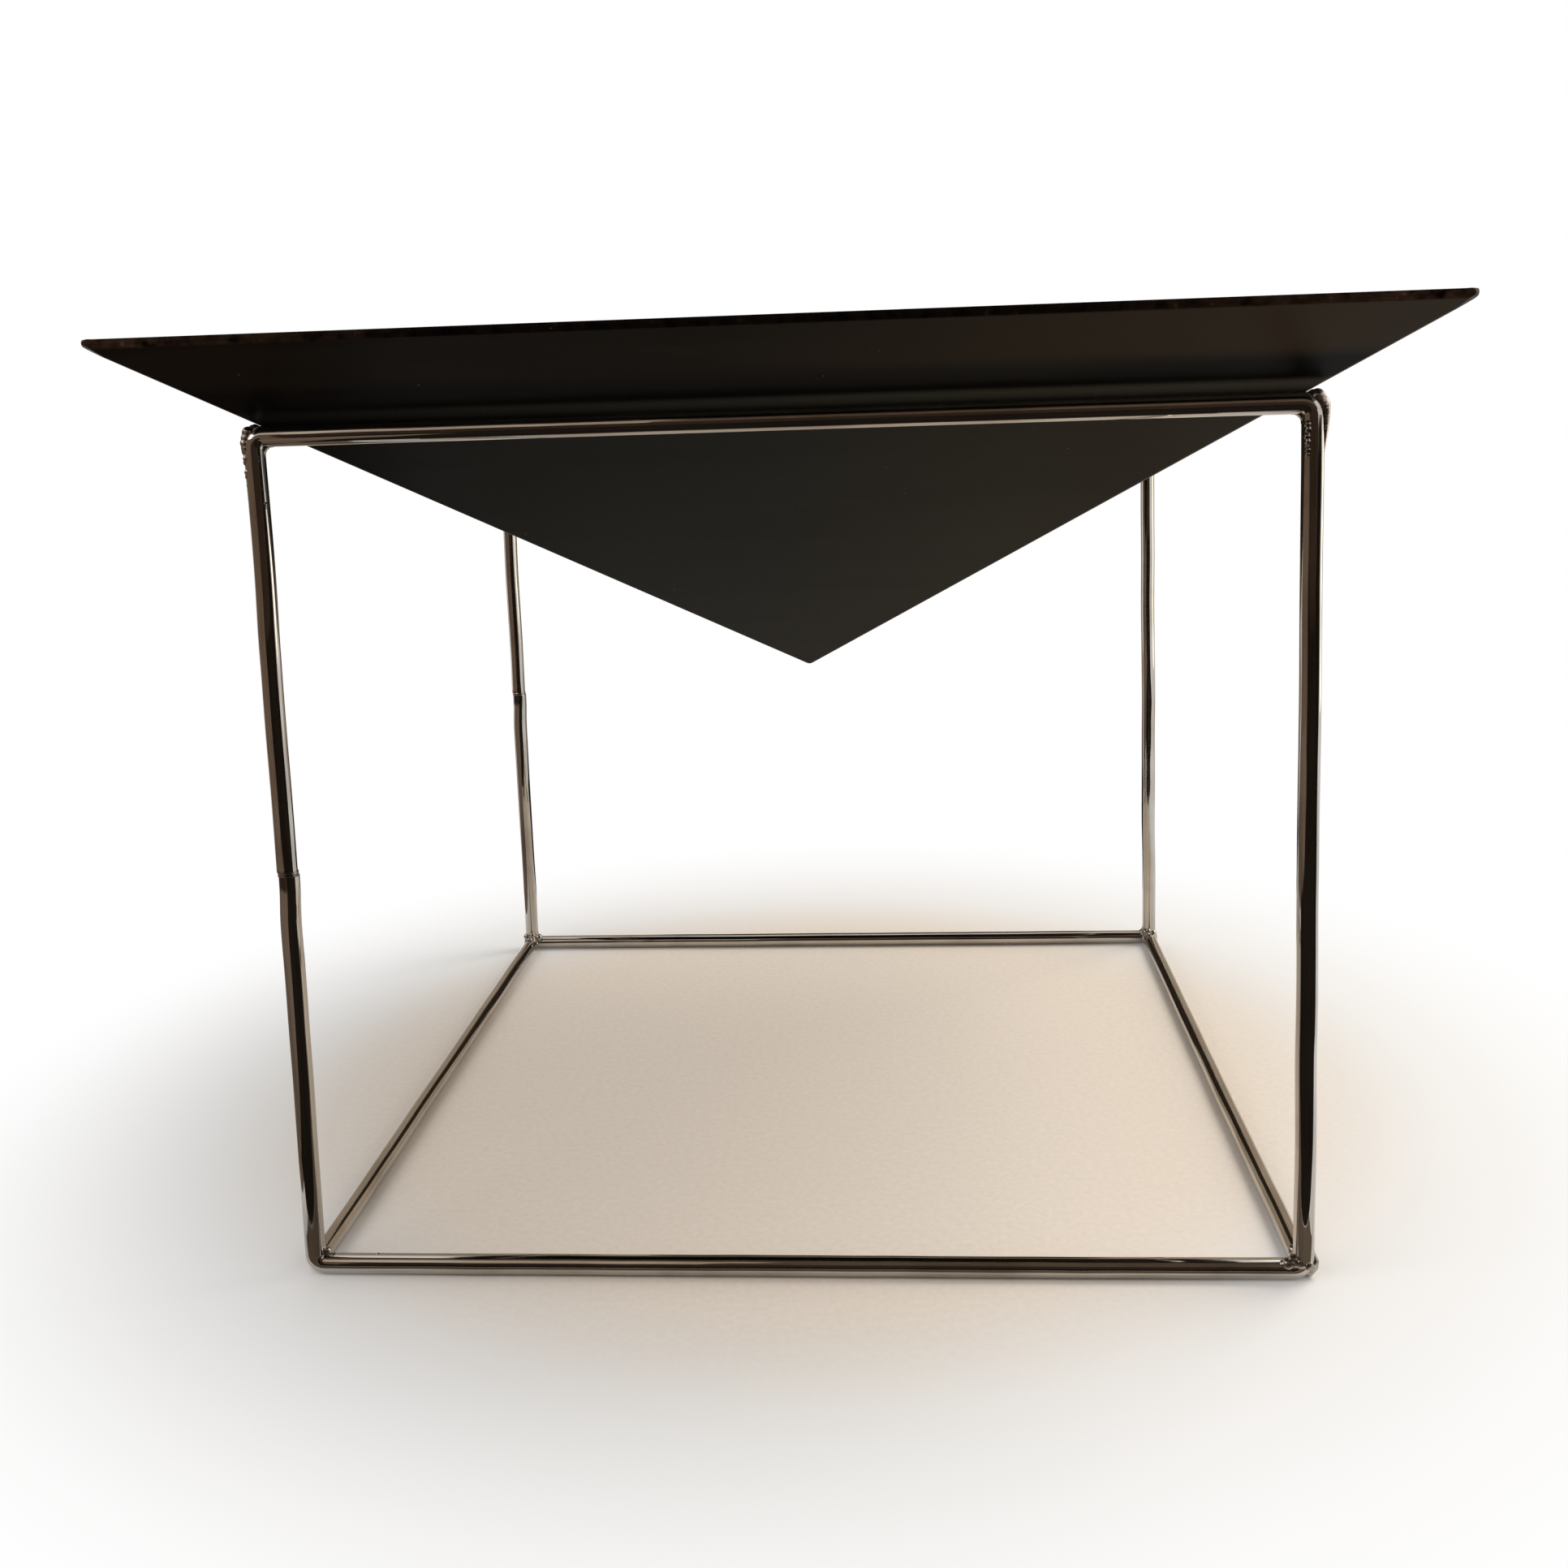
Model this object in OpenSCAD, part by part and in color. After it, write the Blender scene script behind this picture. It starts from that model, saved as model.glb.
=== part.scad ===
// Square side table: a chromed rod cage that carries a loose tray of black sheet.
// The tray is an upside-down pyramid, open at the top. It drops into the square of
// the upper rods and rests on them by its sloping sides, so it lifts straight out.
// Millimetres. Origin on the floor, under the tray's point. +X right, +Y back, +Z up.

/* [Frame] */
// Outside width and depth of the square rod frame
frame_side = 400; // [300:5:600]
// Height of the frame, from the floor to the top of its upper rods
frame_height = 341; // [260:1:600]
// Diameter of the round rod
rod_d = 8; // [6:0.5:12]
// Radius left on the inside of each bend in a rod loop
bend_inside_r = 0.5; // [0.3:0.1:12]
// Height of the butt weld that closes each rod loop, in its left post
seam_height = 167; // [60:1:230]

/* [Tray] */
// How far the tray's rim stands out past the frame on each side
rim_overhang = 39; // [15:1:80]
// Slope of the tray's four sides, in degrees above level
tray_slope = 33.3; // [20:0.1:45]
// Thickness of the tray's sheet
sheet_t = 2.5; // [1.5:0.1:4]
// Gap left between the resting tray and the rods that carry it
seat_gap = 0.3; // [0.1:0.05:1]

/* [Welds] */
// How far a rail's fillet weld stands out around the rod
fillet_rise = 1.8; // [0.8:0.1:3]
// How far a rail's fillet weld runs along the rail
fillet_length = 5.5; // [2:0.1:10]
// How far that fillet weld reaches around the flank of the loop
fillet_wrap = 3; // [1:0.1:3.5]
// Depth of the pocket in which a loop takes the end of a rail
cope_depth = 1; // [0.5:0.1:2]
// Width of the butt weld that closes a rod loop
seam_width = 1.6; // [0.8:0.1:3]
// How far that butt weld stands out around the rod
seam_rise = 0.25; // [0.1:0.05:0.6]
// Radius of the bead inside each hip of the tray
hip_bead_r = 2.2; // [1:0.1:4]

/* [Hidden] */
$fn = 64;
rod_r = rod_d / 2;
bend_r = rod_r + bend_inside_r;
// Centre lines of the frame's rods
line_x = frame_side / 2 - rod_r;
line_y = line_x;
line_low = rod_r;
line_high = frame_height - rod_r;
// The tray's outer faces pass this high above the centre line of the rod below them
seat_rise = (rod_r + seat_gap) / cos(tray_slope);
tray_point_z = line_high + seat_rise - line_x * tan(tray_slope);
rim_half = frame_side / 2 + rim_overhang;
rim_edge = sheet_t / cos(tray_slope);
rim_top_z = tray_point_z + rim_half * tan(tray_slope) + rim_edge;
hip_slope = atan(tan(tray_slope) / sqrt(2));
hip_length = sqrt(2) * rim_half / cos(hip_slope) + sheet_t;
// A size that is longer than any piece, for cutting tools
reach = 4 * rim_half;
// How far a cutting tool is run past the face that it cuts
over = 5;
// What is left of a fillet weld's thickness where it runs out on the rail
fillet_toe = 0.05;

chrome = "silver";
lacquer = [0.12, 0.11, 0.10];

// name, side (-1 front, 1 back)
LOOPS = [["front_loop", -1], ["back_loop", 1]];
// name, side (-1 left, 1 right), height of its centre line
RAILS = [
    ["top_left_rail", -1, line_high],
    ["top_right_rail", 1, line_high],
    ["bottom_left_rail", -1, line_low],
    ["bottom_right_rail", 1, line_low]
];
// name, side in X, side in Y, height of the joint's centre
CORNERS = [
    for (y = [["front", -1], ["back", 1]])
        for (z = [["top", line_high], ["bottom", line_low]])
            for (x = [["left", -1], ["right", 1]])
                [str(y[0], "_", z[0], "_", x[0], "_weld"), x[1], y[1], z[1]]
];
// name, quarter turns from the front
PANELS = [
    ["tray_front_panel", 0],
    ["tray_right_panel", 1],
    ["tray_back_panel", 2],
    ["tray_left_panel", 3]
];
// name, quarter turns from the back right
HIPS = [
    ["tray_back_right_hip_weld", 0],
    ["tray_back_left_hip_weld", 1],
    ["tray_front_left_hip_weld", 2],
    ["tray_front_right_hip_weld", 3]
];

// ---- Frame ----

// A straight rod along +X, +Y or +Z, of the given length, centred on its middle
module rod(length, turn = [0, 0, 0]) {
    rotate(turn) cylinder(h = length, r = rod_r, center = true);
}

// One bend of a loop, in the XZ plane, with its bend centre at the origin.
// It turns from a rod that runs along X, below, to a post at its left.
module bend() {
    rotate([90, 0, 0]) rotate([0, 0, 180])
        rotate_extrude(angle = 90) translate([bend_r, 0]) circle(r = rod_r);
}

// A closed loop of bent rod in the XZ plane: two posts, an upper and a lower rod
module closed_loop() {
    middle_z = (line_low + line_high) / 2;
    half_z = (line_high - line_low) / 2;
    translate([0, 0, middle_z]) {
        for (side = [-1, 1]) {
            translate([side * line_x, 0, 0]) rod(2 * (half_z - bend_r));
            translate([0, 0, side * half_z]) rod(2 * (line_x - bend_r), [0, 90, 0]);
            for (up = [-1, 1])
                translate([side * (line_x - bend_r), 0, up * (half_z - bend_r)])
                    mirror([side > 0 ? 1 : 0, 0, 0])
                        mirror([0, 0, up > 0 ? 1 : 0])
                            bend();
        }
    }
}

// The gap in the left post where the two ends of a loop's rod meet
module seam_gap() {
    translate([-line_x, 0, seam_height]) cube([2 * rod_d, 2 * rod_d, seam_width], center = true);
}

// One bent rod: a loop whose ends stop short of each other for the butt weld
module rod_loop(side) {
    color(chrome) translate([0, side * line_y, 0]) difference() {
        closed_loop();
        seam_gap();
    }
}

// The butt weld between the two ends of a loop's rod
module seam_weld(side) {
    color(chrome) translate([-line_x, side * line_y, seam_height])
        cylinder(h = seam_width, r = rod_r + seam_rise, center = true);
}

// Both loops as plain solids, for coping the rails and the welds to them
module both_loops() {
    for (side = [-1, 1]) translate([0, side * line_y, 0]) closed_loop();
}

// A straight rod from the back of the front loop to the front of the back loop
module rail_rod(side, height) {
    translate([side * line_x, 0, height]) rod(2 * (line_y - rod_r + cope_depth), [90, 0, 0]);
}

// A side rail, coped over the loops at both ends
module rail(side, height) {
    color(chrome) difference() {
        rail_rod(side, height);
        both_loops();
    }
}

// The block inside the outline that the loops have from the front: welds are dressed back to it
module loop_outline() {
    corner_r = bend_r + rod_r;
    half_x = frame_side / 2;
    half_z = frame_height / 2;
    translate([0, 0, half_z]) rotate([90, 0, 0]) linear_extrude(height = frame_side, center = true) {
        square([2 * half_x, 2 * (half_z - corner_r)], center = true);
        square([2 * (half_x - corner_r), 2 * half_z], center = true);
        for (side = [-1, 1], up = [-1, 1])
            translate([side * (half_x - corner_r), up * (half_z - corner_r)])
                circle(r = corner_r);
    }
}

// The fillet weld around one end of a rail, where it meets a bend of a loop
module corner_weld(side, end, height) {
    wide_end_y = end * (line_y - rod_r + fillet_wrap);
    length = fillet_wrap + fillet_length;
    color(chrome) difference() {
        intersection() {
            translate([side * line_x, wide_end_y, height]) rotate([end * 90, 0, 0])
                cylinder(h = length, r1 = rod_r + fillet_rise, r2 = rod_r + fillet_toe);
            loop_outline();
        }
        both_loops();
        rail_rod(side, height);
        tray_clearance();
    }
}

// ---- Tray ----

// The space between two planes parallel to the outer face of the front panel,
// at distances low and high above that face
module face_layer(low, high) {
    translate([0, 0, tray_point_z]) rotate([-tray_slope, 0, 0])
        translate([-reach / 2, -reach / 2, low]) cube([reach, reach, high - low]);
}

// The room that the resting tray takes up above the rods, with the seat's gap around it
module tray_clearance() {
    intersection_for (quarter = [0:3]) rotate([0, 0, 90 * quarter]) face_layer(-seat_gap, reach);
}

// One triangular side of the tray, mitred at both hips, with its rim cut plumb
module panel(quarter) {
    color(lacquer) rotate([0, 0, 90 * quarter]) intersection() {
        face_layer(0, sheet_t);
        linear_extrude(height = rim_top_z + over)
            polygon([[0, 0], [-rim_half, -rim_half], [rim_half, -rim_half]]);
    }
}

// The bead inside one hip, between two sides, dressed flush with the rim
module hip_weld(quarter) {
    color(lacquer) rotate([0, 0, 90 * quarter]) difference() {
        intersection() {
            translate([0, 0, tray_point_z + rim_edge]) rotate([0, 0, 45]) rotate([0, 90 - hip_slope, 0])
                translate([0, 0, -over]) cylinder(h = hip_length + over, r = hip_bead_r);
            cube([rim_half, rim_half, rim_top_z]);
        }
        rotate([0, 0, 90]) face_layer(-over, sheet_t);
        rotate([0, 0, 180]) face_layer(-over, sheet_t);
    }
}

for (l = LOOPS) rod_loop(l[1]);
for (l = LOOPS) seam_weld(l[1]);
for (r = RAILS) rail(r[1], r[2]);
for (c = CORNERS) corner_weld(c[1], c[2], c[3]);
for (p = PANELS) panel(p[1]);
for (h = HIPS) hip_weld(h[1]);
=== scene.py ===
"""Side table: a chromed rod cage that carries a loose tray of black lacquered sheet."""

import logging
import math
import random
from collections.abc import Callable, Mapping, Sequence
from dataclasses import dataclass
from enum import Enum
from functools import partial
from itertools import product
from typing import NamedTuple

import bpy
from bpy.types import Material, Node, NodeSocket, NodeTree, Object
from mathutils import Euler, Matrix, Vector

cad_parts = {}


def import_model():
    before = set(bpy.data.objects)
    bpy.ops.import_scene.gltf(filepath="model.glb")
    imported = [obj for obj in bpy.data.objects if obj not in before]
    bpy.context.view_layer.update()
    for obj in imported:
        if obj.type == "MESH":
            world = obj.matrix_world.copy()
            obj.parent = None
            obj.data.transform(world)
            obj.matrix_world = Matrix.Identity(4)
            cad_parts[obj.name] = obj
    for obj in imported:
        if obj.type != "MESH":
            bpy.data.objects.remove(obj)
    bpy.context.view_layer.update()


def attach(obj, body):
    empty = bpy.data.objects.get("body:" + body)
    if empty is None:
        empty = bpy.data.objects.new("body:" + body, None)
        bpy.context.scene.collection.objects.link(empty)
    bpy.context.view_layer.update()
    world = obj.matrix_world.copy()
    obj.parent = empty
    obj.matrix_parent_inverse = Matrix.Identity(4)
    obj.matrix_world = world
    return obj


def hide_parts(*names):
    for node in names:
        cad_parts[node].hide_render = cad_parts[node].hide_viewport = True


LOG = logging.getLogger("side_table")
MM = 0.001
QUARTER_TURN = math.pi / 2
RIGHT, BACK, UP = Vector((1, 0, 0)), Vector((0, 1, 0)), Vector((0, 0, 1))
# Vertices closer together than this are one
SAME_POINT = 1e-6
# How far a vertex may be off an edge or a face that it counts as being on
ON_EDGE = 1e-5

# What feeds a node's input: one socket, or a node for the first of its outputs
Source = NodeSocket | Node
AddNode = Callable[..., Node]
EdgeTest = Callable[[Vector, Vector], bool]
Pair = tuple[float, float]
Triple = tuple[float, float, float]

# Settings that many nodes share
TIMES = {"operation": "MULTIPLY"}
MINUS = {"operation": "SUBTRACT"}
LARGER = {"operation": "MAXIMUM"}
UNSIGNED = {"operation": "ABSOLUTE"}
SOFT = {"interpolation_type": "SMOOTHSTEP"}
COLOURS = {"data_type": "RGBA"}


class Hand(Enum):
    """Left or right of the table, as its sign in X."""

    LEFT = -1
    RIGHT = 1


class Face(Enum):
    """Front or back of the table, as its sign in Y."""

    FRONT = -1
    BACK = 1


class Level(Enum):
    """Lower or upper rods, as a sign in Z."""

    BOTTOM = -1
    TOP = 1


@dataclass(frozen=True)
class TableSizes:
    """The sizes that the cage and the tray share, in metres."""

    frame_side: float = 400 * MM
    frame_height: float = 341 * MM
    rod_radius: float = 4 * MM
    bend_radius: float = 4.5 * MM
    seam_height: float = 167 * MM
    seam_width: float = 1.6 * MM
    rim_half: float = 239 * MM
    slope: float = math.radians(33.3)
    sheet: float = 2.5 * MM
    seat_gap: float = 0.3 * MM

    @property
    def line(self) -> float:
        """Distance of the rods' centre lines from the middle of the table, in X and Y."""
        return self.frame_side / 2 - self.rod_radius

    @property
    def point_height(self) -> float:
        """Height of the tray's point above the floor."""
        seat_rise = (self.rod_radius + self.seat_gap) / math.cos(self.slope)
        return self.line_height(Level.TOP) + seat_rise - self.line * math.tan(self.slope)

    @property
    def rim_height(self) -> float:
        """Height of the rim's lower edge above the floor."""
        return self.point_height + self.rim_half * math.tan(self.slope)

    @property
    def rim_band(self) -> float:
        """Height of the rim's plumb edge."""
        return self.sheet / math.cos(self.slope)

    def line_height(self, level: Level) -> float:
        """Gives the height of the centre line of the upper or the lower rods."""
        low, high = self.rod_radius, self.frame_height - self.rod_radius
        return low if level is Level.BOTTOM else high


# ---- Work at the bench: selection, sweeping and modifiers ----


def set_mode(mode: str) -> None:
    """Goes to object or edit mode, unless Blender is in it already."""
    if not bpy.context.mode.startswith(mode):
        bpy.ops.object.mode_set(mode=mode)


def pick(piece: Object | None) -> None:
    """Selects one piece alone and makes it active, or selects nothing.

    Args:
        piece: The piece, or None to leave nothing selected.
    """
    set_mode("OBJECT")
    bpy.ops.object.select_all(action="DESELECT")
    if piece is not None:
        piece.select_set(True)
        bpy.context.view_layer.objects.active = piece


def settle(name: str) -> Object:
    """Leaves edit mode, puts the active object's place into its mesh and names it.

    Args:
        name: Name of the finished piece.

    Returns:
        The piece, at the origin, unturned and unscaled.
    """
    set_mode("OBJECT")
    bpy.ops.object.transform_apply(location=True, rotation=True, scale=True)
    piece = bpy.context.active_object
    piece.name = piece.data.name = name
    return piece


def apply_modifier(piece: Object, kind: str, **settings: object) -> None:
    """Adds a modifier to a piece, sets it and applies it.

    Args:
        piece: The piece that it shapes.
        kind: Blender's name for the kind of modifier.
        settings: Value of each of its settings.
    """
    modifier = piece.modifiers.new(kind.title(), kind)
    for key, value in settings.items():
        setattr(modifier, key, value)
    pick(piece)
    bpy.ops.object.modifier_apply(modifier=modifier.name)


def copy_piece(piece: Object, name: str) -> Object:
    """Copies a piece with its own mesh.

    Args:
        piece: The piece to copy.
        name: Name of the copy.

    Returns:
        The copy, selected and active.
    """
    pick(piece)
    bpy.ops.object.duplicate(linked=False)
    twin = bpy.context.active_object
    twin.name = twin.data.name = name
    return twin


def cut_away(piece: Object, point: Sequence[float], outward: Vector) -> None:
    """Bisects a piece, clears what lies beyond the plane and closes the cut.

    Args:
        piece: The piece that is cut.
        point: A point of the plane.
        outward: Direction of the side that goes.
    """
    pick(piece)
    set_mode("EDIT")
    bpy.ops.mesh.select_all(action="SELECT")
    bpy.ops.mesh.bisect(
        plane_co=point, plane_no=outward, use_fill=True, clear_outer=True,
        threshold=SAME_POINT,
    )
    set_mode("OBJECT")


def smooth_by_angle(piece: Object, degrees: float) -> None:
    """Shades a piece smooth, except edges sharper than the angle."""
    pick(piece)
    bpy.ops.object.shade_smooth_by_angle(angle=math.radians(degrees))


def start_ring(
    centre: Sequence[float], radius: float, around: int, turn: Sequence[float] = (0, 0, 0)
) -> None:
    """Starts a sweep: a circle of edges, in edit mode.

    Args:
        centre: Its centre.
        radius: Its radius.
        around: Number of its vertices.
        turn: Rotation of the circle, which lies level when unturned, as Euler angles.
    """
    pick(None)
    bpy.ops.mesh.primitive_circle_add(
        vertices=around, radius=radius, location=centre, rotation=turn, fill_type="NOTHING"
    )
    bpy.ops.object.transform_apply(location=True, rotation=True, scale=True)
    set_mode("EDIT")
    bpy.ops.mesh.select_mode(type="VERT")
    bpy.ops.mesh.select_all(action="SELECT")


def extrude(offset: Vector, scale: float = 1.0) -> None:
    """Extrudes what is selected in edit mode by an offset, then scales it."""
    bpy.ops.mesh.extrude_region_move(TRANSFORM_OT_translate={"value": offset})
    bpy.ops.transform.resize(value=(scale, scale, scale))


def sweep_straight(direction: Vector, length: float, step: float) -> None:
    """Extrudes the selected ring along a straight line in short steps.

    Args:
        direction: Unit vector to go along.
        length: How far to go.
        step: About how long each step is.
    """
    count = max(1, round(length / step))
    for _ in range(count):
        extrude(direction * (length / count))


def unselect(kind: str) -> None:
    """Selects nothing of the mesh in edit mode, which it leaves in this select mode."""
    bpy.ops.mesh.select_mode(type=kind)
    bpy.ops.mesh.select_all(action="DESELECT")


def select_edges(piece: Object, wanted: EdgeTest) -> None:
    """Selects edges by the places of their ends.

    Args:
        piece: The piece, in edit mode.
        wanted: Test of an edge's two ends that says whether to take it.
    """
    unselect("EDGE")
    set_mode("OBJECT")
    points = piece.data.vertices
    for edge in piece.data.edges:
        first, last = (points[i].co for i in edge.vertices)
        edge.select = wanted(first, last)
    set_mode("EDIT")


def join_and_face_out() -> None:
    """Joins the doubled vertices of the mesh in edit mode and turns its faces outwards."""
    bpy.ops.mesh.select_all(action="SELECT")
    bpy.ops.mesh.remove_doubles(threshold=SAME_POINT)
    bpy.ops.mesh.normals_make_consistent(inside=False)


def close_open_ends() -> None:
    """Closes every open ring of the mesh in edit mode and turns its faces outwards."""
    join_and_face_out()
    unselect("EDGE")
    bpy.ops.mesh.select_non_manifold(
        extend=False, use_wire=False, use_multi_face=False, use_non_contiguous=False
    )
    bpy.ops.mesh.edge_face_add()
    join_and_face_out()


def add_pyramid(sizes: TableSizes, half: float, drop: float, fill: str) -> Object:
    """Adds a pyramid that stands on its point, with the slope of the tray.

    Args:
        sizes: The table's sizes.
        half: Half the side of its top.
        drop: How far its point is below the tray's.
        fill: Blender's name for how the top is closed.

    Returns:
        The pyramid.
    """
    depth = half * math.tan(sizes.slope)
    pick(None)
    bpy.ops.mesh.primitive_cone_add(
        vertices=4,
        radius1=0,
        radius2=half * math.sqrt(2),
        depth=depth,
        end_fill_type=fill,
        location=(0, 0, sizes.point_height - drop + depth / 2),
        rotation=(0, 0, math.pi / 4),
    )
    return bpy.context.active_object


def displace(
    piece: Object, texture_name: str, grain: float, depth: float, direction: str = "NORMAL"
) -> None:
    """Moves a piece's skin by soft noise.

    Args:
        piece: The piece.
        texture_name: Name of the noise, which pieces may share.
        grain: Real size of its lumps, in metres.
        depth: How far the skin moves at most, in and out together.
        direction: Blender's name for the way it moves.
    """
    texture = bpy.data.textures.get(texture_name)
    if texture is None:
        texture = bpy.data.textures.new(texture_name, type="CLOUDS")
        texture.noise_scale = grain
        texture.noise_depth = 1
    apply_modifier(
        piece, "DISPLACE", texture=texture, texture_coords="LOCAL", direction=direction,
        mid_level=0.5, strength=depth,
    )


def roughen(piece: Object, grain: float, depth: float) -> None:
    """Makes a piece's skin lumpy, with lumps of this grain and depth."""
    displace(piece, f"grain {grain:.5f}", grain, depth)


def let_wander(piece: Object, depth: float = 0.9 * MM) -> None:
    """Bends a piece of the cage a little off its straight lines, as hand-bent bar is."""
    # Every piece takes the same bends at the same place, so that they stay joined. They
    # are level ones only, so that the lower rods still lie on the floor.
    for direction, grain in (("X", 61 * MM), ("Y", 47 * MM)):
        displace(piece, f"wander {direction}", grain, depth, direction)


# ---- Finishes ----


def linear(colour: str, shade: float = 1.0) -> tuple[float, float, float, float]:
    """Turns an sRGB hex colour to linear.

    Args:
        colour: The colour, as "#RRGGBB".
        shade: What its light is multiplied by.

    Returns:
        Linear red, green, blue and alpha.
    """
    parts = [int(colour[i : i + 2], 16) / 255 for i in (1, 3, 5)]
    red, green, blue = (
        shade * (p / 12.92 if p <= 0.04045 else ((p + 0.055) / 1.055) ** 2.4) for p in parts
    )
    return red, green, blue, 1.0


def add_node(
    tree: NodeTree, kind: str, settings: Mapping[str, object], *first_inputs: Source | float
) -> Node:
    """Adds a node with its settings and links.

    Args:
        tree: The node tree that it goes in.
        kind: Blender's type name, without the leading "ShaderNode".
        settings: Value of each property, and value or source of each input, by name.
        first_inputs: Value or source of each of the first inputs in turn.

    Returns:
        The new node.
    """
    node = tree.nodes.new(f"ShaderNode{kind}")
    inputs = list(zip(node.inputs, first_inputs))
    for name, value in settings.items():
        if hasattr(node, name):
            setattr(node, name, value)
        else:
            inputs.append((find_socket(node.inputs, name), value))
    for socket, value in inputs:
        if isinstance(value, Node):
            value = find_socket(value.outputs)
        if isinstance(value, NodeSocket):
            tree.links.new(value, socket)
        else:
            socket.default_value = value
    return node


def find_socket(
    sockets: bpy.types.bpy_prop_collection, name: str | None = None
) -> NodeSocket:
    """Finds the socket in use with this name, or the first one in use."""
    return next(s for s in sockets if s.enabled and name in (None, s.name))


def new_material(name: str) -> tuple[Material, AddNode]:
    """Makes an empty node material.

    Args:
        name: Name of the material.

    Returns:
        The material, and the function that adds a node to it.
    """
    material = bpy.data.materials.new(name)
    material.use_nodes = True
    material.node_tree.nodes.clear()
    return material, partial(add_node, material.node_tree)


@dataclass(frozen=True)
class ChromePlate:
    """Decorative nickel-chrome plate on drawn steel bar, polished before it was plated.

    It is a mirror with the bar's own faint lines along its run, a haze from years of
    wiping, and a few brown freckles where the plate is thin.
    """

    name: str = "nickel-chrome plate on drawn bar"
    plate: str = "#BDB8B1"
    haze: str = "#8F867B"
    rust: str = "#3F2C1D"
    scorch: str = "#2A1C13"
    roughness: Pair = (0.035, 0.14)
    # The bar's lines are finer; they are drawn this coarse so that they show
    line_width: float = 0.8 * MM
    line_run: float = 70 * MM
    line_depth: float = 0.02 * MM
    haze_patch: float = 38 * MM
    freckle_gap: float = 5 * MM
    freckle_size: float = 0.35 * MM
    # The zone that was filed at a loop's butt weld: below the weld, ragged at its ends
    dull_seam: bool = False
    dull_drop: float = 2.6 * MM
    dull_reach: Pair = (7.6 * MM, 5 * MM)
    dull_grain: float = 2.5 * MM
    dull_ragged: float = 5 * MM
    dull_side: Pair = (2.5 * MM, 0.5 * MM)

    def make(self, sizes: TableSizes) -> Material:
        """Makes the material.

        Args:
            sizes: The table's sizes, for the place of the dull zone at a seam.

        Returns:
            The material.
        """
        material, node = new_material(self.name)
        place = node("TexCoord", {}).outputs["Object"]
        run = node("Attribute", {"attribute_name": "run"}).outputs["Vector"]
        drawn = node("Mapping", {"Scale": (1, 1, self.line_width / self.line_run)}, run)
        lines = node("TexNoise", {"Scale": 1 / self.line_width, "Detail": 3}, drawn)
        patches = node("TexNoise", {"Scale": 1 / self.haze_patch, "Detail": 5}, place)
        freckles = node("TexVoronoi", {"Scale": 1 / self.freckle_gap}, place)

        edge = self.freckle_size / self.freckle_gap
        spots = node("MapRange", {"From Min": edge, "From Max": edge * 0.4}, freckles)
        groups = node("MapRange", {"From Min": 0.55, "From Max": 0.63}, patches)
        spots = node("Math", TIMES, spots, groups)
        half = {**SOFT, "From Max": 0.72, "To Max": 0.5}
        hazy = node("MapRange", {**half, "From Min": 0.42}, patches)
        lined = node("MapRange", {**half, "From Min": 0.5}, lines)
        wear = node("Math", LARGER, hazy, lined)
        layers = [(hazy, self.haze), (lined, self.haze), (spots, self.rust)]
        if self.dull_seam:
            dull = self.seam_zone(node, place, sizes)
            layers.append((dull, self.scorch))
            wear = node("Math", LARGER, wear, dull)
        colour: Source | tuple[float, ...] = linear(self.plate)
        for mask, tone in layers:
            colour = node("Mix", {**COLOURS, "Factor": mask, "A": colour, "B": linear(tone)})

        low, high = self.roughness
        rough = node("MapRange", {"From Max": 0.7, "To Min": low, "To Max": high}, wear)
        height = node("Math", MINUS, lines, spots)
        shallow = {"Strength": 0.35, "Distance": self.line_depth}
        relief = node("Bump", {**shallow, "Height": height})
        surface = {"Base Color": colour, "Roughness": rough, "Normal": relief}
        node("OutputMaterial", {}, node("BsdfPrincipled", {**surface, "Metallic": 1.0}))
        return material

    def seam_zone(self, node: AddNode, place: NodeSocket, sizes: TableSizes) -> Node:
        """Marks the short dull zone on the left post, where the butt weld was filed.

        Args:
            node: Adds a node to the tree.
            place: Object coordinates.
            sizes: The table's sizes.

        Returns:
            Node that gives 0.85 in the zone and 0 outside it.
        """
        parts = node("SeparateXYZ", {}, place).outputs
        blotches = node("TexNoise", {"Scale": 1 / self.dull_grain, "Detail": 3}, place)
        offset = node("Math", MINUS, parts["Z"], sizes.seam_height - self.dull_drop)
        distance = node("Math", UNSIGNED, offset)
        spread = {"operation": "MULTIPLY_ADD"}
        ragged = node("Math", spread, blotches, self.dull_ragged, distance)
        far, near = self.dull_reach
        zone = node("MapRange", {"From Min": far, "From Max": near, "To Max": 0.85}, ragged)
        # It fades out round the post's right half
        none, full = (side - sizes.line for side in self.dull_side)
        left = node("MapRange", {"From Min": none, "From Max": full}, parts["X"])
        return node("Math", TIMES, zone, left)


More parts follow.
